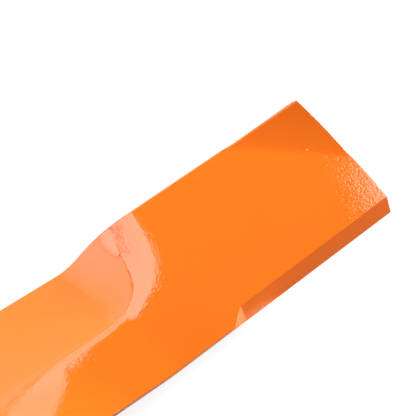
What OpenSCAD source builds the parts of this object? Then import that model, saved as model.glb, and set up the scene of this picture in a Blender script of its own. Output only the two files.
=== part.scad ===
// Rotary mower blade: one flat bar, pressed to a pitched arm at each end and ground to a cutting edge.
// Millimetres, Z up. The origin is the middle of the spindle hole on the underside of the level seat.
// X runs out along one arm and Y from that arm's cutting edge to its trailing edge.
// The other arm is the same arm turned half a turn about Z.

/* [Bar] */
// Distance along X from the spindle axis to the cutting corner at the tip
tip_reach = 249.4; // [235:0.1:265]
// Width of the flat bar
bar_width = 60; // [56:0.5:66]
// Thickness of the flat bar
bar_thickness = 5; // [4:0.1:6]

/* [Seat] */
// Diameter of the spindle hole
bore_diameter = 25.4; // [16:0.2:32]
// Distance from the axis at which the level seat bends down into the arm
seat_reach = 52; // [48:0.5:56]
// Half length of the rounded bend at the end of the seat
seat_bend = 6; // [4:0.5:8]
// Height of the seat over the turning line of the pitched arm
seat_rise = 5.5; // [4:0.1:8]
// Distance from the axis at which the slope from the seat ends
slope_reach = 125.6; // [118:0.1:130]
// Half length of the rounded bend at the end of the slope
slope_bend = 4; // [3:0.5:6]

/* [Pitch] */
// Pitch of the arm, cutting edge down and trailing edge up
arm_pitch = 24.8; // [18:0.1:30]
// Distance of the turning line from the middle of the bar, towards the cutting edge
turn_offset = 3.6; // [0:0.1:8]
// Half width of the soft crease along the turning line
crease_half = 1.8; // [1.2:0.1:4]
// Distance from the axis at which the cutting side starts to turn down
lead_start = 32.7; // [28:0.1:40]
// Distance from the axis at which the cutting side has its full pitch
lead_end = 112.2; // [102:0.1:116]
// Distance from the axis at which the trailing edge starts to turn up
trail_start = 119.2; // [116:0.1:124]
// Distance from the axis at which the trailing edge has its full pitch
trail_end = 154.9; // [150:0.1:164]
// Share of its length that this turn keeps where it runs into the crease
trail_narrow = 0.67; // [0.5:0.01:1]
// Distance by which the turn sweeps towards the axis to run into the crease
trail_sweep = 14; // [6:0.1:18]
// Distance from the turning line at which that sweep begins
sweep_reach = 21; // [15:0.5:26]
// Slant of the turn: shift away from the axis per unit of distance from the trailing edge
trail_slant = 0.11; // [0:0.01:0.2]
// Share of the trailing turn that is its tight lower bend
trail_tight = 0.44; // [0.3:0.01:0.5]

/* [Tip] */
// Rake of the end, the trailing corner nearer to the axis than the cutting corner
end_rake = 5.7; // [2:0.1:8]
// Height of the end's outward curve over the line between its corners
end_bulge = 2.6; // [1:0.1:4]
// Distance from the axis at which the turned-up corner's bend meets the trailing edge
fold_reach = 204; // [198:0.1:208]
// Angle of the bend line to the square-cut end
fold_angle = 36.5; // [30:0.1:40]
// Length of metal taken up by the tight bend on that line
fold_bend = 3; // [2:0.1:5]
// Angle of the tight bend
fold_break = 12.5; // [8:0.1:15]
// Length of metal past the tight bend in which the corner goes on curling up
fold_curl = 17; // [12:0.1:22]
// Angle by which the corner is turned up in all
fold_lift = 21; // [16:0.1:26]

/* [Cutting edge] */
// Width of the ground bevel, measured on the upper face
bevel_width = 5.5; // [4.6:0.1:6.6]
// Length of the ground bevel along the lower edge
bevel_length = 83.1; // [70:0.1:88]
// Height of the land left under the bevel
edge_land = 0.4; // [0.2:0.1:0.8]
// Length of the run-out of the grinding on the upper face
runout_length = 7.6; // [5:0.2:10]
// Distance by which the run-out is further out on the lower edge than on the upper edge
runout_slant = 8.5; // [6:0.5:11]

/* [Hidden] */
blade_color = [0.96, 0.42, 0.08];
half_width = bar_width/2;
half_thick = bar_thickness/2;
// Where the fold can first move metal, with a little in hand
fold_first = fold_reach - 4;
// Half width of the strip that holds the creases of both arms
crease_zone = turn_offset + crease_half;
// Distance from the turning line to the trailing edge
trail_width = half_width + turn_offset;
// Where the swept trailing turn can begin, at the crease
turn_first = trail_start - trail_sweep;
// Spacing of the stations on level or evenly pitched metal
long_step = 18;
// Spacing of the stations where the cutting side turns down
slope_step = 6;
// Spacing of the stations where the trailing side turns up
turn_step = 2.3;
// Spacing of the stations at the turned-up corner
tip_step = 3.2;
// Spacing of the lines across the bar beside the creases
plain_column = 4;
// Spacing of the lines across the bar in the creases
crease_column = 1.2;
// Small step used to find the direction of the surface
tiny = 0.05;
// Overshoot of the cutting shapes past the metal
over = 6;

// Keeps a share between 0 and 1
function share(t) = min(max(t, 0), 1);

// Soft step from 0 to 1
function soft(t) = share(t)*share(t)*(3 - 2*share(t));

// Step from 0 to 1 with a tight start and a long soft end
function tight(t) =
    let (s = share(t), k = trail_tight)
    s < k ? s*s/k : k + 2*(s - k) - (s - k)*(s - k)/(1 - k);

// Length d past a bend that is rounded over a half length r
function past(d, r) = d > r ? d : d < -r ? 0 : (d + r)*(d + r)/(4*r);

// Height of the turning line of the middle surface at x along the arm
function line_height(x) =
    let (fall = past(slope_reach - x, slope_bend) - past(seat_reach - x, seat_bend))
    half_thick - seat_rise + seat_rise*fall/(slope_reach - seat_reach);

// Width, counted from the turning line, that follows the tilt of the trailing side
function trailing_part(u) =
    let (c = crease_half)
    u > c ? u - c/4 : u < -c ? -c/4 : (u + c)*(u + c)/(4*c) - c/4;

// Share of the pitch that the trailing side has at x along and v across the flat bar
function trail_turn(x, v) =
    let (
        u = v + turn_offset,
        sweep = trail_sweep*pow(share(1 - u/sweep_reach), 2),
        start = trail_start - sweep + trail_slant*(half_width - v),
        length = (trail_end - trail_start)*(trail_narrow + (1 - trail_narrow)*share(u/trail_width))
    )
    tight((x - start)/length);

// Middle surface before the corner is turned up, x along and v across the flat bar
function pitched(x, v) =
    let (
        u = v + turn_offset,
        far = trailing_part(u),
        near = u - far,
        lead_tilt = arm_pitch*soft((x - lead_start)/(lead_end - lead_start)),
        trail_tilt = arm_pitch*trail_turn(x, v)
    )
    [
        x,
        near*cos(lead_tilt) + far*cos(trail_tilt) - turn_offset,
        near*sin(lead_tilt) + far*sin(trail_tilt) + line_height(x)
    ];

// Distance past the bend line of the turned-up corner, along the flat bar
function past_fold(x, v) = (x - fold_reach)*sin(fold_angle) + (v - half_width)*cos(fold_angle);

// Run and rise along an arc of a given length that turns from angle a to angle b, as far as d
function arc_way(d, length, a, b) =
    let (
        radius = length*180/(PI*(b - a)),
        turn = a + (b - a)*share(d/length)
    )
    [radius*(sin(turn) - sin(a)), radius*(cos(a) - cos(turn))];

// Run and rise of the turned-up corner at d past its bend line: tight bend, curl, then straight on
function fold_way(d) =
    arc_way(d, fold_bend, 0, fold_break)
    + arc_way(d - fold_bend, fold_curl, fold_break, fold_lift)
    + max(d - fold_bend - fold_curl, 0)*[cos(fold_lift), sin(fold_lift)];

// Middle surface with the corner turned up past the bend line
function middle(x, v) =
    let (
        d = past_fold(x, v),
        way = fold_way(d),
        along = [sin(fold_angle), cos(fold_angle)*cos(arm_pitch), cos(fold_angle)*sin(arm_pitch)],
        upward = [0, -sin(arm_pitch), cos(arm_pitch)]
    )
    pitched(x, v) + (d > 0 ? (way[0] - d)*along + way[1]*upward : [0, 0, 0]);

// Direction square to the middle surface
function square_to(x, v) =
    let (n = cross(middle(x + tiny, v) - middle(x - tiny, v), middle(x, v + tiny) - middle(x, v - tiny)))
    n/norm(n);

// Point on the upper face (side 1) or the lower face (side -1)
function skin(x, v, side) = middle(x, v) + side*half_thick*square_to(x, v);

// Distance from the axis to the end of the bar at v across
function end_at(v) =
    tip_reach - tan(end_rake)*(v + half_width) + end_bulge*(1 - pow(v/half_width, 2));

// Evenly spaced values from a up to, but without, b
function spread(a, b, step) =
    let (count = ceil((b - a)/step))
    [for (i = [0:count - 1]) a + (b - a)*i/count];

tip_count = ceil((tip_reach - fold_first)/tip_step);
plain_stations = concat(
    spread(0, lead_start, long_step),
    spread(lead_start, turn_first, slope_step),
    spread(turn_first, trail_end, turn_step),
    spread(trail_end, fold_first, long_step)
);
plain_count = len(plain_stations);
arm_count = plain_count + tip_count;
lines_across = concat(
    spread(-half_width, -crease_zone, plain_column),
    spread(-crease_zone, crease_zone, crease_column),
    spread(crease_zone, half_width, plain_column),
    [half_width]
);
columns = len(lines_across) - 1;

// Distance along the flat bar of station i at v across; the last stations close up on the end's curve
function station(i, v) =
    i < plain_count
    ? plain_stations[i]
    : fold_first + (end_at(v) - fold_first)*(i - plain_count)/tip_count;

// Point of the whole bar, stations counted from -arm_count to arm_count
function bar_point(i, v, side) =
    i >= 0
    ? skin(station(i, v), v, side)
    : let (p = skin(station(-i, -v), -v, side)) [-p[0], -p[1], p[2]];

// Flat bar, pressed: a grid of points on the lower face and on the upper face, closed round the edges
module pressed_bar() {
    rows = 2*arm_count + 1;
    across = columns + 1;
    layer = rows*across;
    points = [
        for (side = [-1, 1])
            for (i = [-arm_count:arm_count])
                for (j = [0:columns])
                    bar_point(i, lines_across[j], side)
    ];
    last = rows - 1;
    upper = [
        for (i = [0:last - 1])
            for (j = [0:columns - 1])
                let (a = layer + i*across + j)
                each [[a, a + 1, a + across + 1], [a, a + across + 1, a + across]]
    ];
    lower = [
        for (i = [0:last - 1])
            for (j = [0:columns - 1])
                let (a = i*across + j)
                each [[a, a + across + 1, a + 1], [a, a + across, a + across + 1]]
    ];
    long_edges = [
        for (i = [0:last - 1])
            let (a = i*across, b = a + columns)
            each [
                [a, a + layer, a + across + layer],
                [a, a + across + layer, a + across],
                [b, b + across + layer, b + layer],
                [b, b + across, b + across + layer]
            ]
    ];
    ends = [
        for (j = [0:columns - 1])
            let (a = j, b = last*across + j)
            each [
                [a, a + 1, a + 1 + layer],
                [a, a + 1 + layer, a + layer],
                [b, b + 1 + layer, b + 1],
                [b, b + layer, b + 1 + layer]
            ]
    ];
    polyhedron(points, concat(upper, lower, long_edges, ends), convexity = 10);
}

// Point of the pitched arm at x along, v across and n over the middle surface
function arm_point(x, v, n) =
    [
        x,
        (v + turn_offset)*cos(arm_pitch) - n*sin(arm_pitch) - turn_offset,
        (v + turn_offset)*sin(arm_pitch) + n*cos(arm_pitch) + half_thick - seat_rise
    ];

// Plane of the run-out: distance along the arm at v across and n over the middle surface
function runout_at(v, n) =
    tip_reach - bevel_length
    + (v + half_width)*runout_length/bevel_width
    - (n + half_thick)*runout_slant/bar_thickness;

// Metal taken away by the grinding: a wedge over the cutting edge, slanted off at its inner end
module ground_wedge() {
    slope = bevel_width/(bar_thickness - edge_land);
    top_v = bevel_width - half_width + over*slope;
    low_v = -half_width - over*slope;
    corners = [
        [top_v, half_thick + over],
        [low_v, edge_land - half_thick - over],
        [low_v, half_thick + over]
    ];
    inner = [for (c = corners) arm_point(runout_at(c[0], c[1]), c[0], c[1])];
    outer = [for (c = corners) arm_point(tip_reach + over, c[0], c[1])];
    polyhedron(
        concat(inner, outer),
        [[0, 2, 1], [3, 4, 5], [0, 1, 4], [0, 4, 3], [1, 2, 5], [1, 5, 4], [2, 0, 3], [2, 3, 5]]
    );
}

// Spindle hole, square to the seat
module spindle_hole() {
    translate([0, 0, -over])
        cylinder(d = bore_diameter, h = bar_thickness + 2*over, $fn = 96);
}

module blade() {
    color(blade_color)
        difference() {
            pressed_bar();
            ground_wedge();
            rotate([0, 0, 180])
                ground_wedge();
            spindle_hole();
        }
}

blade();
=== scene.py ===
"""Looks of a rotary mower blade: a flat bar pressed to shape, ground at its cutting edges and painted.

The blade is laid out as the flat bar that it is made from, with softened edges, ground bevels and the
spindle hole. Every point of the flat bar is then carried to its place on the pressed blade. Sizes of the
blade are in millimetres until its mesh is made. The scene is in metres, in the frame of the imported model.
"""

import logging
import math
from dataclasses import dataclass, field
from enum import Enum

import bpy
import numpy as np
from mathutils import Matrix, Vector

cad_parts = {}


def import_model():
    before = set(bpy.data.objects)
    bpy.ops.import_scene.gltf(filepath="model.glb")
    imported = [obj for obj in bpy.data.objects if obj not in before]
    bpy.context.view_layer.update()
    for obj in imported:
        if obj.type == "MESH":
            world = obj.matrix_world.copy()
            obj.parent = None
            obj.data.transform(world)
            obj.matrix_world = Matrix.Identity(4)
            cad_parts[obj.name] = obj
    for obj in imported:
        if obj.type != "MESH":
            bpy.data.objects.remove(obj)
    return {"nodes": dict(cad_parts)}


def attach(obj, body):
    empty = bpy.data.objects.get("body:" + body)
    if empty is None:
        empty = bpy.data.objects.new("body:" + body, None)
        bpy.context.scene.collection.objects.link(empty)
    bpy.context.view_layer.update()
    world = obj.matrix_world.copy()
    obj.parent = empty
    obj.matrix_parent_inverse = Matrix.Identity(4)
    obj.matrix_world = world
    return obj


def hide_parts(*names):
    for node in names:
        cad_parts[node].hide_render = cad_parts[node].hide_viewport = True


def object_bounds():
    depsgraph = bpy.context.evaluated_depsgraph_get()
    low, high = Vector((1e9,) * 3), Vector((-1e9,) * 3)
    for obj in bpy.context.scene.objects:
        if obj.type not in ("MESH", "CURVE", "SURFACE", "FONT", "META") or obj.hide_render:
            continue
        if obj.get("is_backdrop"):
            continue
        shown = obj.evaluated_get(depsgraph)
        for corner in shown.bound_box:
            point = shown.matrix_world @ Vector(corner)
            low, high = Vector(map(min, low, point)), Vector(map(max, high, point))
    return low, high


LOG = logging.getLogger("mower_blade")
Array = np.ndarray
Socket = bpy.types.NodeSocket
Colour = tuple[float, float, float]
Size = tuple[float, float, float]
Place = tuple[float, float]
Span = tuple[float, float]

MM = 0.001
# Points of the skin are joined on a grid of a ten-thousandth of a millimetre, off the round values.
JOINS_PER_MM = 1e4
JOIN_SHIFT = 0.377
# Shortest length that a direction is divided by.
SHORTEST = 1e-12
# Watts of a square metre of panel lamp that glows as brightly as white.
WATTS_PER_GLOW = 4.0


@dataclass(frozen=True)
class PressedBar:
    """Shape that the press gives to the flat bar.

    x is the distance along the flat bar from the spindle axis, v the distance across it from its middle,
    positive towards the trailing edge. Lengths are in millimetres and angles in degrees.
    """

    tip_reach: float = 249.4
    half_width: float = 30.0
    half_thick: float = 2.5
    seat_reach: float = 52.0
    seat_bend: float = 6.0
    seat_rise: float = 5.5
    slope_reach: float = 125.6
    slope_bend: float = 4.0
    arm_pitch: float = 24.8
    turn_offset: float = 3.6
    crease_half: float = 1.8
    lead_start: float = 32.7
    lead_end: float = 112.2
    trail_start: float = 119.2
    trail_end: float = 154.9
    trail_narrow: float = 0.67
    trail_sweep: float = 14.0
    sweep_reach: float = 21.0
    trail_slant: float = 0.11
    trail_tight: float = 0.44
    end_rake: float = 5.7
    end_bulge: float = 2.6
    fold_reach: float = 204.0
    fold_angle: float = 36.5
    fold_bend: float = 3.0
    fold_break: float = 12.5
    fold_curl: float = 17.0
    fold_lift: float = 21.0
    tiny: float = 0.05

    @staticmethod
    def soft(t: Array) -> Array:
        """Soft step: the cube curve 3t2 - 2t3, held at 0 and 1 outside."""
        s = np.clip(t, 0.0, 1.0)
        return s * s * (3.0 - 2.0 * s)

    def tight(self, t: Array) -> Array:
        """Step of two parabolas: a tight one up to the share trail_tight, then a long soft one."""
        k = self.trail_tight
        s = np.clip(t, 0.0, 1.0)
        rest = s - k
        return np.where(s < k, s * s / k, k + 2.0 * rest - rest * rest / (1.0 - k))

    @staticmethod
    def past(d: Array, r: float) -> Array:
        """Length past a bend: zero before it, d after it, a parabola within r on either side."""
        return np.where(d > r, d, np.where(d < -r, 0.0, (d + r) ** 2 / (4.0 * r)))

    def line_height(self, x: Array) -> Array:
        """Height of the turning line: level seat, then a straight slope down to the arm, bends rounded."""
        slope = self.seat_rise / (self.slope_reach - self.seat_reach)
        to_arm = self.past(self.slope_reach - x, self.slope_bend)
        to_seat = self.past(self.seat_reach - x, self.seat_bend)
        return self.half_thick - self.seat_rise + slope * (to_arm - to_seat)

    def trail_turn(self, x: Array, v: Array) -> Array:
        """Share of the pitch that the trailing side has.

        It is a tight step along the arm. Towards the crease the step gets shorter, and it starts earlier by
        a parabola, so that the turn sweeps round into the crease.

        Args:
            x: Distances along the flat bar.
            v: Distances across the flat bar.

        Returns:
            Shares from 0 to 1.
        """
        u = v + self.turn_offset
        sweep = self.trail_sweep * np.clip(1.0 - u / self.sweep_reach, 0.0, 1.0) ** 2
        start = self.trail_start - sweep + self.trail_slant * (self.half_width - v)
        outward = np.clip(u / (self.half_width + self.turn_offset), 0.0, 1.0)
        kept = self.trail_narrow + (1.0 - self.trail_narrow) * outward
        return self.tight((x - start) / ((self.trail_end - self.trail_start) * kept))

    def pitched(self, x: Array, v: Array) -> Array:
        """Middle surface of the pitched arm, before the tip corner is turned up.

        The width is parted at the turning line by a parabola as wide as the crease. The near part leans by
        the cutting side's tilt and the far part by the trailing side's tilt, each a step along the arm.

        Args:
            x: Distances along the flat bar.
            v: Distances across the flat bar.

        Returns:
            Points of the middle surface, with a last axis of three.
        """
        u = v + self.turn_offset
        c = self.crease_half
        far = np.where(u > c, u, np.where(u < -c, 0.0, (u + c) ** 2 / (4.0 * c))) - c / 4.0
        near = u - far
        pitch = math.radians(self.arm_pitch)
        lead = pitch * self.soft((x - self.lead_start) / (self.lead_end - self.lead_start))
        trail = pitch * self.trail_turn(x, v)
        y = near * np.cos(lead) + far * np.cos(trail) - self.turn_offset
        z = near * np.sin(lead) + far * np.sin(trail) + self.line_height(x)
        return np.stack(np.broadcast_arrays(x, y, z), axis=-1)

    @staticmethod
    def arc_way(d: Array, length: float, a: float, b: float) -> tuple[Array, Array]:
        """Run and rise as far as d along an arc that turns evenly from angle a to angle b, in radians."""
        radius = length / (b - a)
        turn = a + (b - a) * np.clip(d / length, 0.0, 1.0)
        return radius * (np.sin(turn) - math.sin(a)), radius * (math.cos(a) - np.cos(turn))

    def middle(self, x: Array, v: Array) -> Array:
        """Middle surface of the whole arm, with the tip corner turned up past its slanted bend line.

        Past the bend line the metal follows a tight arc, then a long one that curls on, then runs straight.

        Args:
            x: Distances along the flat bar.
            v: Distances across the flat bar.

        Returns:
            Points of the middle surface, with a last axis of three.
        """
        slant, pitch = math.radians(self.fold_angle), math.radians(self.arm_pitch)
        d = (x - self.fold_reach) * math.sin(slant) + (v - self.half_width) * math.cos(slant)
        d = np.maximum(d, 0.0)
        kink, full = math.radians(self.fold_break), math.radians(self.fold_lift)
        bend_run, bend_rise = self.arc_way(d, self.fold_bend, 0.0, kink)
        curl_run, curl_rise = self.arc_way(d - self.fold_bend, self.fold_curl, kink, full)
        beyond = np.maximum(d - self.fold_bend - self.fold_curl, 0.0)
        run = bend_run + curl_run + beyond * math.cos(full)
        lift = bend_rise + curl_rise + beyond * math.sin(full)
        along = np.array([
            math.sin(slant), math.cos(slant) * math.cos(pitch), math.cos(slant) * math.sin(pitch)])
        upward = np.array([0.0, -math.sin(pitch), math.cos(pitch)])
        return self.pitched(x, v) + (run - d)[..., None] * along + lift[..., None] * upward

    def carry(self, flat: Array) -> Array:
        """Carries points of the flat bar to the pressed blade.

        Each point goes to the middle surface and from there its height n along the surface's square.

        Args:
            flat: Points as (x, v, n) along the last axis.

        Returns:
            Points of the pressed blade, in the same layout.
        """
        x, v, n = flat[..., 0], flat[..., 1], flat[..., 2]
        e = self.tiny
        square = np.cross(
            self.middle(x + e, v) - self.middle(x - e, v), self.middle(x, v + e) - self.middle(x, v - e))
        square /= np.linalg.norm(square, axis=-1, keepdims=True)
        return self.middle(x, v) + n[..., None] * square

    def end_at(self, v: Array) -> Array:
        """Distance along the bar to its end: a raked line with a shallow outward parabola."""
        rake = math.tan(math.radians(self.end_rake))
        bulge = self.end_bulge * (1.0 - (v / self.half_width) ** 2)
        return self.tip_reach - rake * (v + self.half_width) + bulge


class Wrap(Enum):
    """Whether a grid of points closes on itself across its columns."""

    OPEN = False
    ROUND = True


class Turn(Enum):
    """Which way round the faces of a grid are wound, so that they point outwards."""

    COLUMN_FIRST = 0
    ROW_FIRST = 1


@dataclass
class Skin:
    """Points and faces of a surface while it is put together."""

    points: list[Array] = field(default_factory=list)
    quads: list[Array] = field(default_factory=list)
    triangles: list[Array] = field(default_factory=list)
    count: int = 0

    def add_grid(self, grid: Array, wrap: Wrap, turn: Turn) -> Array:
        """Adds a grid of points with a face in each of its cells.

        Args:
            grid: Points in rows and columns, with a last axis of three.
            wrap: Whether the last column joins the first.
            turn: Winding of the faces.

        Returns:
            The number of each point, in rows and columns.
        """
        rows, columns = grid.shape[:2]
        numbers = self.count + np.arange(rows * columns).reshape(rows, columns)
        self.points.append(grid.reshape(-1, 3))
        self.count += rows * columns
        closed = np.concatenate([numbers, numbers[:, :1]], axis=1) if wrap is Wrap.ROUND else numbers
        a, b = closed[:-1, :-1], closed[:-1, 1:]
        d, c = closed[1:, :-1], closed[1:, 1:]
        corners = (a, b, c, d) if turn is Turn.COLUMN_FIRST else (a, d, c, b)
        self.quads.append(np.stack(corners, axis=-1).reshape(-1, 4))
        return numbers

    def add_strip(self, one: Array, other: Array) -> None:
        """Adds a strip of faces between two rows of points that run the same way."""
        self.quads.append(np.stack([one[:-1], one[1:], other[1:], other[:-1]], axis=-1))

    def add_fan(self, ring: Array) -> None:
        """Adds a fan of faces from the first point of a convex ring to the others."""
        first = np.full(len(ring) - 2, ring[0])
        self.triangles.append(np.stack([first, ring[1:-1], ring[2:]], axis=-1))

    def joined(self) -> tuple[Array, Array, Array]:
        """Joins points that share a place.

        Returns:
            Points, four-cornered faces and three-cornered faces.
        """
        points = np.concatenate(self.points)
        keys = np.floor(points * JOINS_PER_MM + JOIN_SHIFT).astype(np.int64)
        _, first, same = np.unique(keys, axis=0, return_index=True, return_inverse=True)
        same = same.reshape(-1)
        return points[first], same[np.concatenate(self.quads)], same[np.concatenate(self.triangles)]


def area_normals(points: Array, quads: Array, triangles: Array) -> Array:
    """Direction square to the surface at each point: the sum of the faces there, weighted by their area.

    Args:
        points: Points of the surface.
        quads: Four-cornered faces.
        triangles: Three-cornered faces.

    Returns:
        A unit direction for each point.
    """
    total = np.zeros_like(points)
    p = points[quads]
    square = np.cross(p[:, 2] - p[:, 0], p[:, 3] - p[:, 1])
    np.add.at(total, quads.ravel(), np.repeat(square, 4, axis=0))
    t = points[triangles]
    square = np.cross(t[:, 1] - t[:, 0], t[:, 2] - t[:, 0])
    np.add.at(total, triangles.ravel(), np.repeat(square, 3, axis=0))
    return total / np.maximum(np.linalg.norm(total, axis=1, keepdims=True), SHORTEST)


class Step(Enum):
    """How a value goes from one level to another."""

    EVEN = "LINEAR"
    SOFT = "SMOOTHSTEP"


@dataclass(frozen=True)
class Wiring:
    """Puts shader nodes into one tree. What feeds a node is the output of another one, or a plain value."""

    tree: bpy.types.NodeTree

    def node(self, kind: str) -> bpy.types.Node:
        """New node of a kind, such as Math or MapRange."""
        return self.tree.nodes.new(f"ShaderNode{kind}")

    def feed(self, socket: Socket, value: Socket | float | Vector | tuple[float, ...]) -> None:
        """Links an output to a socket, or sets the socket to a plain value."""
        if isinstance(value, Socket):
            self.tree.links.new(value, socket)
        else:
            socket.default_value = value

    def place(self) -> Socket:
        """Coordinates of the object."""
        return self.node("TexCoord").outputs["Object"]

    def seen(self) -> Socket:
        """1 where the camera looks straight at the surface, otherwise 0."""
        return self.node("LightPath").outputs["Is Camera Ray"]

    def parts(self, place: Socket) -> tuple[Socket, Socket, Socket]:
        """X, Y and Z of a place."""
        node = self.node("SeparateXYZ")
        self.feed(node.inputs["Vector"], place)
        return node.outputs["X"], node.outputs["Y"], node.outputs["Z"]

    def maths(self, work: str, *values: Socket | float) -> Socket:
        """Result of a kind of sum, such as ADD or MAXIMUM, on one or two values."""
        node = self.node("Math")
        node.operation = work
        for socket, value in zip(node.inputs, values):
            self.feed(socket, value)
        return node.outputs["Value"]

    def ranged(
        self, value: Socket, span: Span, levels: tuple[Socket | float, Socket | float],
        step: Step = Step.EVEN,
    ) -> Socket:
        """Carries a value from a span to two levels and holds it outside the span.

        Args:
            value: The value.
            span: Where the first level ends and the second begins.
            levels: The two levels.
            step: Whether the way between them is even or soft.

        Returns:
            The carried value.
        """
        node = self.node("MapRange")
        node.interpolation_type = step.value
        names = ("Value", "From Min", "From Max", "To Min", "To Max")
        for name, given in zip(names, (value, *span, *levels)):
            self.feed(node.inputs[name], given)
        return node.outputs["Result"]

    def noise(self, place: Socket, size: float, detail: float) -> Socket:
        """Noise with waves of about the given size."""
        node = self.node("TexNoise")
        self.feed(node.inputs["Vector"], place)
        self.feed(node.inputs["Scale"], 1.0 / size)
        self.feed(node.inputs["Detail"], detail)
        return node.outputs["Fac"]

    def mixed(self, share: Socket, one: Socket | Colour, other: Colour) -> Socket:
        """Mix of two colours by a share. The node's sockets repeat their names, so identifiers are used."""
        node = self.node("Mix")
        node.data_type = "RGBA"
        pins = {socket.identifier: socket for socket in (*node.inputs, *node.outputs)}
        self.feed(pins["Factor_Float"], share)
        self.feed(pins["A_Color"], one if isinstance(one, Socket) else (*one, 1.0))
        self.feed(pins["B_Color"], (*other, 1.0))
        return pins["Result_Color"]

    def measured(self, place: Socket, centre: Vector | Size, angle: float, unit: Size) -> Socket:
        """Coordinates from a centre, turned about Z by an angle in radians, in units of their own."""
        node = self.node("Mapping")
        node.vector_type = "TEXTURE"
        self.feed(node.inputs["Vector"], place)
        self.feed(node.inputs["Location"], centre)
        self.feed(node.inputs["Rotation"], (0.0, 0.0, angle))
        self.feed(node.inputs["Scale"], unit)
        return node.outputs["Vector"]

    def spot(self, place: Socket, centre: Vector, angle: float, half: Size) -> Socket:
        """Soft spot: 1 in the middle of an ellipsoid, falling by a square to 0 at its surface."""
        node = self.node("TexGradient")
        node.gradient_type = "QUADRATIC_SPHERE"
        self.feed(node.inputs["Vector"], self.measured(place, centre, angle, half))
        return node.outputs["Fac"]

    def end(self, shader: Socket) -> None:
        """Ends the tree of a material with its shader."""
        self.feed(self.node("OutputMaterial").inputs["Surface"], shader)


def bare_material(name: str) -> bpy.types.Material:
    """New material without any nodes."""
    made = bpy.data.materials.new(name)
    made.use_nodes = True
    made.node_tree.nodes.clear()
    return made


@dataclass(frozen=True)
class GlossyPaint:
    """Glossy orange paint, with the fine ripple of a sprayed coat and a raised nib whose pale colour is a
    painted highlight.

    Lengths are in metres, as the coordinates of the material are. The ripple is stronger on the inner arm,
    calm past the turn and full at the end. The calm begins and ends over two spans of the distance out.
    """

    colour: Colour = (0.95, 0.18, 0.0135)
    deep_colour: Colour = (0.93, 0.165, 0.0115)
    cloud_size: float = 0.035
    cloud_detail: float = 2.0
    refraction: float = 1.58
    roughness: Span = (0.012, 0.024)
    roughness_size: float = 0.014
    roughness_detail: float = 3.0
    ripple_size: float = 0.001
    ripple_detail: float = 1.0
    ripple_height: float = 0.000033
    ripple_inner: float = 0.7
    ripple_calm: float = 0.27
    ripple_full: float = 1.0
    calm_begins: Span = (0.115, 0.14)
    calm_ends: Span = (0.2, 0.24)
    fine_size: float = 0.0008
    fine_detail: float = 0.0
    fine_share: float = 0.25
    # Pale colour on the nib: a painted highlight, not a colour of the coat.
    nib_highlight_colour: Colour = (0.98, 0.66, 0.42)
    nib_half: Size = (0.0011, 0.00042, 0.0009)
    nib_height: float = 0.00012
    speck_colour: Colour = (0.36, 0.07, 0.02)
    speck_half: Size = (0.0005, 0.0005, 0.0005)

    def material(self, nib: Vector, nib_angle: float, speck: Vector) -> bpy.types.Material:
        """Makes the paint.

        Args:
            nib: Place of a small raised nib in the coat, also coloured pale there as a painted highlight.
            nib_angle: Direction of the nib's length about Z, in radians.
            speck: Place of a small dark speck in the coat.

        Returns:
            The material, on Object coordinates.
        """
        made = bpy.data.materials.new("orange_paint")
        made.use_nodes = True
        wires = Wiring(made.node_tree)
        shader = made.node_tree.nodes["Principled BSDF"]
        place = wires.place()
        nib_and_highlight_spot = wires.spot(place, nib, nib_angle, self.nib_half)
        speck_spot = wires.spot(place, speck, 0.0, self.speck_half)

        cloud = wires.noise(place, self.cloud_size, self.cloud_detail)
        tone = wires.mixed(cloud, self.colour, self.deep_colour)
        # Painted highlight: the nib's spot is coloured pale, besides being raised by the bump below.
        tone = wires.mixed(nib_and_highlight_spot, tone, self.nib_highlight_colour)
        tone = wires.mixed(speck_spot, tone, self.speck_colour)
        wires.feed(shader.inputs["Base Color"], tone)

        patches = wires.noise(place, self.roughness_size, self.roughness_detail)
        wires.feed(shader.inputs["Roughness"], wires.ranged(patches, (0.0, 1.0), self.roughness))
        wires.feed(shader.inputs["IOR"], self.refraction)

        raised = wires.maths("MULTIPLY", nib_and_highlight_spot, self.nib_height / self.ripple_height)
        bump = wires.node("Bump")
        wires.feed(bump.inputs["Strength"], 1.0)
        wires.feed(bump.inputs["Distance"], self.ripple_height)
        wires.feed(bump.inputs["Height"], wires.maths("ADD", self._ripple(wires, place), raised))
        wires.feed(shader.inputs["Normal"], bump.outputs["Normal"])
        return made

    def _ripple(self, wires: Wiring, place: Socket) -> Socket:
        """Height of the ripple: broad and fine noise together, times its share along the arm."""
        broad = wires.noise(place, self.ripple_size, self.ripple_detail)
        fine = wires.noise(place, self.fine_size, self.fine_detail)
        both = wires.maths("ADD", broad, wires.maths("MULTIPLY", fine, self.fine_share))
        out = wires.maths("ABSOLUTE", wires.parts(place)[0])
        inner = wires.ranged(out, self.calm_begins, (self.ripple_inner, self.ripple_calm), Step.SOFT)
        outer = wires.ranged(out, self.calm_ends, (self.ripple_calm, self.ripple_full), Step.SOFT)
        return wires.maths("MULTIPLY", both, wires.maths("MAXIMUM", inner, outer))


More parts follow.
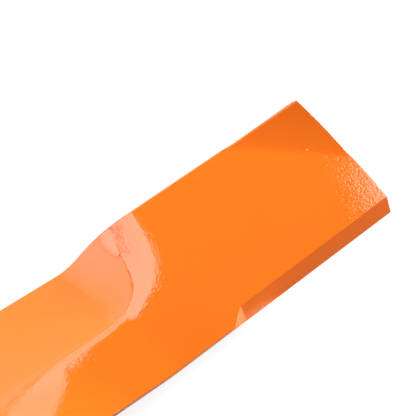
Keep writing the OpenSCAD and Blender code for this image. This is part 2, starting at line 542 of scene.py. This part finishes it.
@dataclass
class Blade:
    """The blade: two pressed and ground arms on a level seat with a spindle hole. In millimetres."""

    bar: PressedBar = field(default_factory=PressedBar)
    paint: GlossyPaint = field(default_factory=GlossyPaint)
    bore_radius: float = 12.7
    bore_break: float = 0.4
    edge_break: float = 0.3
    corner_round: float = 0.22
    lower_round: float = 0.6
    corner_share: float = 0.47
    end_round: float = 0.18
    end_trim: float = 0.01
    end_angles: tuple[float, ...] = (30.0, 60.0, 90.0)
    bevel_width: float = 5.5
    bevel_length: float = 83.1
    edge_land: float = 0.4
    runout_length: float = 7.6
    runout_slant: float = 8.5
    seat_half: float = 30.0
    fold_first: float = 200.0
    ground_before: float = 1.2
    ground_close: float = 0.3
    stretch_counts: tuple[int, ...] = (3, 34, 50, 9, 3, 8)
    tip_count: int = 46
    columns: int = 58
    crease_gain: float = 3.5
    crease_spread: float = 0.07
    crease_samples: int = 401
    arc_points: int = 5
    seat_columns: int = 24
    seat_rings: int = 7
    # Place of the raised nib, whose spot also carries a painted highlight.
    nib_at: Place = (234.8, 10.6)
    nib_turn: float = -20.0
    speck_at: Place = (148.0, 0.6)

    def stations(self) -> tuple[Array, Array]:
        """Stations along one arm, close together where the metal is bent or ground.

        Returns:
            Distances along the flat bar, and the share of the way from the corner's bend to the end.
        """
        ground = self.bar.tip_reach - self.bevel_length
        turn_first = self.bar.trail_start - self.bar.trail_sweep
        ends = (
            self.seat_half, self.bar.lead_start, turn_first, self.bar.trail_end,
            ground - self.ground_before, ground - self.ground_close, self.fold_first)
        stretches = zip(ends, ends[1:], self.stretch_counts)
        plain = np.concatenate([np.linspace(a, b, n, endpoint=False) for a, b, n in stretches])
        share = np.linspace(0.0, 1.0, self.tip_count)
        x = np.concatenate([plain, self.fold_first + (self.bar.tip_reach - self.fold_first) * share])
        return x, np.concatenate([np.full(len(plain), -1.0), share])

    def across(self) -> Array:
        """Shares of the way across the upper face, closer together at the crease by a bell curve."""
        fine = np.linspace(0.0, 1.0, self.crease_samples)
        crease = 0.5 + 0.5 * self.bar.turn_offset / self.bar.half_width
        weight = 1.0 + self.crease_gain * np.exp(-(((fine - crease) / self.crease_spread) ** 2))
        way = np.cumsum(weight) - weight[0]
        return np.interp(np.linspace(0.0, way[-1], self.columns + 2), way, fine)[1:-1, None]

    def section(self, x: Array) -> Array:
        """Outline of the flat bar across its length, as (v, n), at each station.

        The outline has six corners. Two of them part at the cutting edge, first along the plane in which
        the grinding wheel ran out and then to the full bevel. Each corner is rounded by a parabola.

        Args:
            x: Distances along the flat bar.

        Returns:
            Points in rows of stations, counted from the upper trailing corner across the upper face.
        """
        w, h, c = self.bar.half_width, self.bar.half_thick, self.edge_break
        ramp = x - (self.bar.tip_reach - self.bevel_length)
        cut = (self.runout_slant + ramp) * self.bevel_width / self.runout_length
        top = np.clip(cut, c, self.bevel_width)
        low = np.clip(-h - ramp * 2.0 * h / self.runout_slant, self.edge_land - h, h - c)
        one = np.ones_like(x)
        v = np.stack([(w - c) * one, top - w, -w * one, -w * one, w * one, w * one], axis=1)
        n = np.stack([h * one, h * one, low, -h * one, -h * one, (h - c) * one], axis=1)
        corner = np.stack([v, n], axis=-1)
        onward = np.roll(corner, -1, axis=1) - corner
        length = np.linalg.norm(onward, axis=-1)
        onward /= length[..., None]
        backward = -np.roll(onward, 1, axis=1)
        r, q = self.corner_round, self.lower_round
        wanted = np.array([r, r, r, q, q, r])
        most = self.corner_share * np.minimum(length, np.roll(length, 1, axis=1))
        reach = np.minimum(wanted, most)[..., None]
        start, end = corner + reach * backward, corner + reach * onward
        t = np.linspace(0.0, 1.0, self.arc_points)[:, None]
        arc = ((1.0 - t) ** 2 * start[:, :, None] + 2.0 * t * (1.0 - t) * corner[:, :, None]
               + t ** 2 * end[:, :, None])
        s = self.across()
        upper = (1.0 - s) * end[:, 0, None] + s * start[:, 1, None]
        lower = s[::-1] * end[:, 3, None] + (1.0 - s[::-1]) * start[:, 4, None]
        return np.concatenate(
            [arc[:, 0], upper, arc[:, 1], arc[:, 2], arc[:, 3], lower, arc[:, 4], arc[:, 5]], axis=1)

    def flat_arm(self) -> Array:
        """One arm of the flat bar, as (x, v, n): outlines carried along the stations, with a rounded end.

        The last stations close up on the curve of the end. More rings shrink by a quarter circle. The end is
        trimmed a little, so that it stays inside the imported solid's box.
        """
        x, share = self.stations()
        outline = self.section(x)
        v, n = outline[..., 0], outline[..., 1]
        end = self.bar.end_at(v) - self.end_trim - self.end_round
        closing = self.fold_first + (end - self.fold_first) * share[:, None]
        along = np.where(share[:, None] < 0.0, x[:, None], closing)
        arm = np.stack([along, v, n], axis=-1)
        last = outline[-1]
        way = np.roll(last, -1, axis=0) - np.roll(last, 1, axis=0)
        way /= np.linalg.norm(way, axis=-1, keepdims=True)
        inward = np.stack([-way[:, 1], way[:, 0]], axis=-1)
        angle = np.radians(np.array(self.end_angles))[:, None]
        ring = last + (self.end_round * (1.0 - np.cos(angle)))[..., None] * inward
        back = self.end_trim + self.end_round * (1.0 - np.sin(angle))
        ring_x = self.bar.end_at(ring[..., 0]) - back
        rings = np.concatenate([ring_x[..., None], ring], axis=-1)
        return np.concatenate([arm, rings])

    def flat_seat(self, outline: Array) -> tuple[Array, Array, Array]:
        """Middle of the flat bar between the arms, with the spindle hole, as (x, v, n).

        Straight lines run from the rim of the seat in to the hole, down its wall and out again below.

        Args:
            outline: Outline of the bar at the inner end of an arm.

        Returns:
            Rings from the upper rim through the hole to the lower rim, and the two side strips.
        """
        a, k = self.arc_points, self.columns
        side = np.linspace(self.seat_half, -self.seat_half, self.seat_columns + 1)
        upper, lower = outline[a - 1:a + k + 1, 0], outline[4 * a + k - 1:4 * a + 2 * k + 1, 0]
        lead, trail = outline[a + k:4 * a + k], np.concatenate([outline[4 * a + 2 * k:], outline[:a]])
        rim_up = self._rim(upper, side)
        rim_low = self._rim(lower[::-1], side)
        angle = np.arctan2(rim_up[:, 1], rim_up[:, 0])
        wheel = np.stack([np.cos(angle), np.sin(angle)], axis=-1)
        h, b, r = self.bar.half_thick, self.bore_break, self.bore_radius
        t = np.linspace(0.0, 1.0, self.arc_points)
        bend_r, bend_n = r + b * (1.0 - t) ** 2, h - b * t ** 2
        wall_r = np.concatenate([bend_r, bend_r[::-1]])
        wall_n = np.concatenate([bend_n, -bend_n[::-1]])
        wall_up = np.broadcast_to(wall_n[:, None, None], (len(wall_r), len(angle), 1))
        wall = np.concatenate([wall_r[:, None, None] * wheel, wall_up], axis=-1)
        s = np.linspace(0.0, 1.0, self.seat_rings, endpoint=False)[:, None, None]
        hole = (r + b) * wheel
        above, below = (1.0 - s) * rim_up + s * hole, (1.0 - s) * rim_low + s * hole
        level = np.ones((*above.shape[:2], 1))
        top = np.concatenate([above, h * level], axis=-1)
        bottom = np.concatenate([below, -h * level], axis=-1)
        rings = np.concatenate([top, wall, bottom[::-1]])
        strips = [
            np.concatenate([
                np.broadcast_to(side[:, None, None], (len(side), len(block), 1)),
                np.broadcast_to(block, (len(side), *block.shape))], axis=-1)
            for block in (lead, trail)]
        return rings, strips[0], strips[1]

    def _rim(self, across: Array, side: Array) -> Array:
        """Rim of the seat seen from above, clockwise from the outer trailing corner of the first arm."""
        x, edge = self.seat_half, across[0]
        out = np.stack([np.full(len(across) - 1, x), across[:-1]], axis=-1)
        down = np.stack([side[:-1], np.full(len(side) - 1, -edge)], axis=-1)
        return np.concatenate([out, down, -out, -down])

    def build(self) -> bpy.types.Object:
        """Puts the arms and the seat together and makes the blade's mesh.

        Returns:
            The blade, in metres and at its place in the frame.
        """
        skin = Skin()
        flat = self.flat_arm()
        arm = self.bar.carry(flat)
        a, k = self.arc_points, self.columns
        for half_turn in (np.array([1.0, 1.0, 1.0]), np.array([-1.0, -1.0, 1.0])):
            last = skin.add_grid(arm * half_turn, Wrap.ROUND, Turn.COLUMN_FIRST)[-1]
            upper, lower = last[a - 1:a + k + 1], last[4 * a + k - 1:4 * a + 2 * k + 1]
            skin.add_strip(upper, lower[::-1])
            skin.add_fan(last[a + k:4 * a + k])
            skin.add_fan(np.concatenate([last[4 * a + 2 * k:], last[:a]]))
        rings, lead, trail = self.flat_seat(flat[0, :, 1:])
        skin.add_grid(self.bar.carry(rings), Wrap.ROUND, Turn.ROW_FIRST)
        skin.add_grid(self.bar.carry(lead), Wrap.OPEN, Turn.ROW_FIRST)
        skin.add_grid(self.bar.carry(trail), Wrap.OPEN, Turn.ROW_FIRST)
        points, quads, triangles = skin.joined()
        mesh = bpy.data.meshes.new("pressed_blade")
        mesh.from_pydata((points * MM).tolist(), [], quads.tolist() + triangles.tolist())
        mesh.polygons.foreach_set("use_smooth", np.ones(len(mesh.polygons), dtype=bool))
        mesh.normals_split_custom_set_from_vertices(area_normals(points, quads, triangles).tolist())
        mesh.update()
        made = bpy.data.objects.new("pressed_blade", mesh)
        bpy.context.scene.collection.objects.link(made)
        LOG.info("blade: %d points, %d faces", len(points), len(quads) + len(triangles))
        return made

    def dress(self, made: bpy.types.Object) -> None:
        """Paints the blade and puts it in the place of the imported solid."""
        marks = np.array([(*self.nib_at, self.bar.half_thick), (*self.speck_at, self.bar.half_thick)])
        nib, speck = self.bar.carry(marks) * MM
        paint = self.paint.material(Vector(nib), math.radians(self.nib_turn), Vector(speck))
        made.data.materials.append(paint)
        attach(made, "root")
        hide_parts("blade")
        LOG.info("paint: orange, glossy, with nib at %s", np.round(nib, 4).tolist())


class Softbox(Enum):
    """The lamps of the studio."""

    STRIP = "strip_overhead"
    END = "panel_end"
    LEFT = "panel_left"
    RIGHT = "panel_right"
    LOW_RIGHT = "panel_low_right"
    FRONT_RIGHT = "panel_front_right"
    LOW_BACK = "panel_low_back"


@dataclass(frozen=True)
class Fade:
    """How the glow of a ceiling panel changes over it, with places in ceiling heights.

    The glow goes evenly from the first level to the second, between the two places of the ramp. Between the
    two places of the edge it falls softly to the low level.
    """

    levels: Span
    ramp: tuple[Place, Place]
    low: float
    edge: tuple[Place, Place]

    def glow(self, wires: Wiring, place: Socket) -> Socket:
        """Level of the glow at a place of the panel.

        Args:
            wires: Nodes of the panel's material.
            place: Place on the panel, in ceiling heights.

        Returns:
            The level, for the strength of the light.
        """
        level = wires.ranged(*self._along(wires, place, self.ramp), self.levels)
        return wires.ranged(*self._along(wires, place, self.edge), (level, self.low), Step.SOFT)

    @staticmethod
    def _along(wires: Wiring, place: Socket, ends: tuple[Place, Place]) -> tuple[Socket, Span]:
        """How far along the line between two ends a place lies, and where the ends lie on that measure."""
        first, second = (Vector((*spot, 0.0)) for spot in ends)
        way = second - first
        node = wires.node("VectorMath")
        node.operation = "DOT_PRODUCT"
        wires.feed(node.inputs[0], place)
        wires.feed(node.inputs[1], way)
        return node.outputs["Value"], (first.dot(way), second.dot(way))


@dataclass(frozen=True)
class CeilingPanel:
    """A glowing panel on the ceiling.

    Its corners are (X, Y) in ceiling heights, counted from the point below the place that it hangs over.
    """

    name: Softbox
    corners: tuple[Place, ...]
    brightness: float | Fade
    height: float = 0.5
    over: Place = (0.16, 0.0)

    def hang(self) -> bpy.types.Object:
        """Makes the panel.

        Returns:
            The panel, a stage piece that the camera doesn't see.
        """
        flat = np.array(self.corners) * self.height + np.array(self.over)
        points = np.concatenate([flat, np.full((len(flat), 1), self.height)], axis=1)
        mesh = bpy.data.meshes.new(self.name.value)
        mesh.from_pydata(points.tolist(), [], [tuple(range(len(flat)))])
        mesh.materials.append(self._glow())
        made = bpy.data.objects.new(self.name.value, mesh)
        made.visible_camera = False
        bpy.context.scene.collection.objects.link(made)
        made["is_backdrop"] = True
        LOG.info("lamp %s: %d corners", self.name.value, len(flat))
        return made

    def _glow(self) -> bpy.types.Material:
        """White glow, even or fading."""
        made = bare_material(self.name.value)
        wires = Wiring(made.node_tree)
        glow = wires.node("Emission")
        strength = self.brightness
        if isinstance(strength, Fade):
            unit = (self.height, self.height, 1.0)
            heights = wires.measured(wires.place(), (*self.over, 0.0), 0.0, unit)
            strength = strength.glow(wires, heights)
        wires.feed(glow.inputs["Strength"], strength)
        wires.end(glow.outputs["Emission"])
        return made


@dataclass(frozen=True)
class SidePanel:
    """A panel lamp beside the blade, turned towards it. Angles in degrees, lengths in metres."""

    name: Softbox
    azimuth: float
    elevation: float
    width: float
    height: float
    brightness: float
    distance: float = 2.0
    centre: Size = (0.2, 0.0, 0.0)

    def stand(self) -> bpy.types.Object:
        """Makes the lamp, with the power that gives its area the wanted brightness."""
        a, e = math.radians(self.azimuth), math.radians(self.elevation)
        out = Vector((math.sin(a) * math.cos(e), math.cos(a) * math.cos(e), math.sin(e)))
        data = bpy.data.lights.new(self.name.value, "AREA")
        data.shape = "RECTANGLE"
        data.size, data.size_y = self.width, self.height
        data.energy = WATTS_PER_GLOW * self.brightness * self.width * self.height
        lamp = bpy.data.objects.new(self.name.value, data)
        lamp.location = Vector(self.centre) + self.distance * out
        lamp.rotation_euler = out.to_track_quat("Z", "Y").to_euler()
        lamp.visible_camera = False
        bpy.context.scene.collection.objects.link(lamp)
        LOG.info("lamp %s: %.2f by %.2f m", self.name.value, self.width, self.height)
        return lamp


@dataclass
class Studio:
    """Pale floor, white surroundings and soft lamps. Lengths in metres."""

    floor_height: float
    floor_half: float = 4.0
    floor_lines: int = 9
    floor_tone: float = 0.16
    card_tone: float = 0.85
    card_long: Span = (0.178, 0.188)
    card_wide: Span = (0.034, 0.046)
    floor_shown: float = 0.9
    floor_white: float = 0.88
    dim: float = 0.02
    ceiling: tuple[CeilingPanel, ...] = (
        CeilingPanel(
            Softbox.STRIP,
            ((-0.251, 0.0165), (-0.1, 0.152), (0.06, 0.14), (0.145, 0.08), (0.385, 0.07), (0.395, 0.23),
             (0.43, 0.335), (0.55, 0.36), (0.85, 0.3), (0.548, -0.122), (0.455, -0.158), (0.488, -0.205),
             (0.489, -0.255), (0.47, -0.285), (0.43, -0.3), (0.06, -0.2), (0.032, -0.0877),
             (-0.053, -0.0677), (-0.178, -0.0207)),
            Fade(levels=(4.5, 2.8), ramp=((0.3, 0.0), (0.5, 0.1)), low=2.8, edge=((0.8, 0.3), (0.9, 0.3)))),
        CeilingPanel(
            Softbox.END,
            ((-0.253, 0.0115), (-0.295, 0.056), (-0.46, 0.135), (-0.7, 0.25), (-0.75, 0.1), (-0.3, -0.06),
             (0.045, -0.2), (0.03, -0.0923), (-0.055, -0.0723), (-0.18, -0.0253)),
            5.1),
        CeilingPanel(
            Softbox.LEFT,
            ((-1.2, 0.45), (-1.2, 1.2), (1.0, 1.2), (1.0, 0.5), (0.5, 0.42), (0.415, 0.36), (0.377, 0.24),
             (0.367, 0.095), (0.15, 0.11), (0.06, 0.17), (-0.105, 0.18), (-0.25, 0.036), (-0.297, 0.063),
             (-0.463, 0.142), (-0.7, 0.257)),
            Fade(
                levels=(3.6, 0.9), ramp=((-0.8, 0.1), (-0.01, 1.25)), low=0.7,
                edge=((0.437, 0.676), (0.477, 0.824)))),
        CeilingPanel(
            Softbox.RIGHT, ((0.725, -0.29), (1.3, -0.29), (1.3, -0.8), (0.725, -0.6)), 5.2, height=0.6,
            over=(0.245, -0.015)),
    )
    sides: tuple[SidePanel, ...] = (
        SidePanel(Softbox.LOW_RIGHT, 88.0, 21.5, 1.46, 1.1, 7.6),
        SidePanel(Softbox.FRONT_RIGHT, 106.0, 4.5, 1.6, 0.3, 24.0),
        SidePanel(Softbox.LOW_BACK, -32.0, 22.0, 2.3, 1.0, 4.8),
    )

    def build(self) -> None:
        """Lays the floor, sets the surroundings and puts up the lamps."""
        self._floor()
        self._surroundings()
        for panel in self.ceiling:
            panel.hang()
        for panel in self.sides:
            panel.stand()

    def _floor(self) -> None:
        """Level floor: white to the camera, with the blade's shadow on it.

        To everything else it is grey, with a white card of soft edges below the blade, short of its tips.
        """
        s = np.linspace(-self.floor_half, self.floor_half, self.floor_lines)
        x, y = np.meshgrid(s, s, indexing="ij")
        grid = np.stack([x, y, np.full_like(x, self.floor_height)], axis=-1)
        skin = Skin()
        skin.add_grid(grid, Wrap.OPEN, Turn.ROW_FIRST)
        mesh = bpy.data.meshes.new("floor")
        mesh.from_pydata(skin.points[0].tolist(), [], skin.quads[0].tolist())
        mesh.materials.append(self._floor_surface())
        made = bpy.data.objects.new("floor", mesh)
        bpy.context.scene.collection.objects.link(made)
        made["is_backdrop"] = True
        LOG.info("floor at %.4f m", self.floor_height)

    def _floor_surface(self) -> bpy.types.Material:
        """Matt floor that glows a little to the camera."""
        made = bare_material("pale_floor")
        wires = Wiring(made.node_tree)
        seen = wires.seen()
        along, aside, _ = wires.parts(wires.place())
        tones = (self.card_tone, self.floor_tone)
        long = wires.ranged(wires.maths("ABSOLUTE", along), self.card_long, tones, Step.SOFT)
        wide = wires.ranged(wires.maths("ABSOLUTE", aside), self.card_wide, tones, Step.SOFT)
        matt = wires.node("BsdfDiffuse")
        lit = (wires.maths("MINIMUM", long, wide), self.floor_shown)
        wires.feed(matt.inputs["Color"], wires.ranged(seen, (0.0, 1.0), lit))
        white = wires.node("Emission")
        both = wires.node("MixShader")
        wires.feed(both.inputs["Fac"], wires.maths("MULTIPLY", seen, self.floor_white))
        wires.feed(both.inputs[1], matt.outputs["BSDF"])
        wires.feed(both.inputs[2], white.outputs["Emission"])
        wires.end(both.outputs["Shader"])
        return made

    def _surroundings(self) -> None:
        """White behind the blade for the camera, dim light from all round for the rest."""
        world = bpy.data.worlds.new("white_room")
        bpy.context.scene.world = world
        world.use_nodes = True
        wires = Wiring(world.node_tree)
        back = world.node_tree.nodes["Background"]
        wires.feed(back.inputs["Color"], (1.0, 1.0, 1.0, 1.0))
        wires.feed(back.inputs["Strength"], wires.ranged(wires.seen(), (0.0, 1.0), (self.dim, 1.0)))
        LOG.info("surroundings: white to the camera, %.2f to the rest", self.dim)


@dataclass(frozen=True)
class Viewpoint:
    """The camera. Its place is in millimetres, angles in degrees, focal length and frame in pixels."""

    place: Size = (-109.886, -290.341, 438.797)
    azimuth: float = -44.0505
    elevation: float = 45.8523
    focal: float = 1542.91
    frame: float = 416.0
    sensor: float = 36.0
    nearest: float = 0.01

    def set_up(self) -> bpy.types.Object:
        """Makes the camera, level, looking along its azimuth and down by its elevation."""
        a, e = math.radians(self.azimuth), math.radians(self.elevation)
        back = Vector((math.sin(a) * math.cos(e), -math.cos(a) * math.cos(e), math.sin(e)))
        right = Vector((math.cos(a), math.sin(a), 0.0))
        turn = Matrix((right, back.cross(right), back)).transposed().to_4x4()
        data = bpy.data.cameras.new("camera")
        data.sensor_width = self.sensor
        data.lens = self.sensor * self.focal / self.frame
        data.clip_start = self.nearest
        made = bpy.data.objects.new("camera", data)
        made.matrix_world = Matrix.Translation(Vector(self.place) * MM) @ turn
        bpy.context.scene.collection.objects.link(made)
        bpy.context.scene.camera = made
        LOG.info("camera: lens %.1f mm", data.lens)
        return made


def main() -> None:
    """Builds the blade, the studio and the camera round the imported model."""
    logging.basicConfig(level=logging.INFO, format="%(name)s %(message)s")
    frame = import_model()
    LOG.info("frame: nodes %s", sorted(frame["nodes"]))
    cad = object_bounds()
    bpy.context.scene.view_settings.view_transform = "Standard"
    blade = Blade()
    blade.dress(blade.build())
    Studio(floor_height=cad[0][2]).build()
    Viewpoint().set_up()


if __name__ == "__main__":
    main()
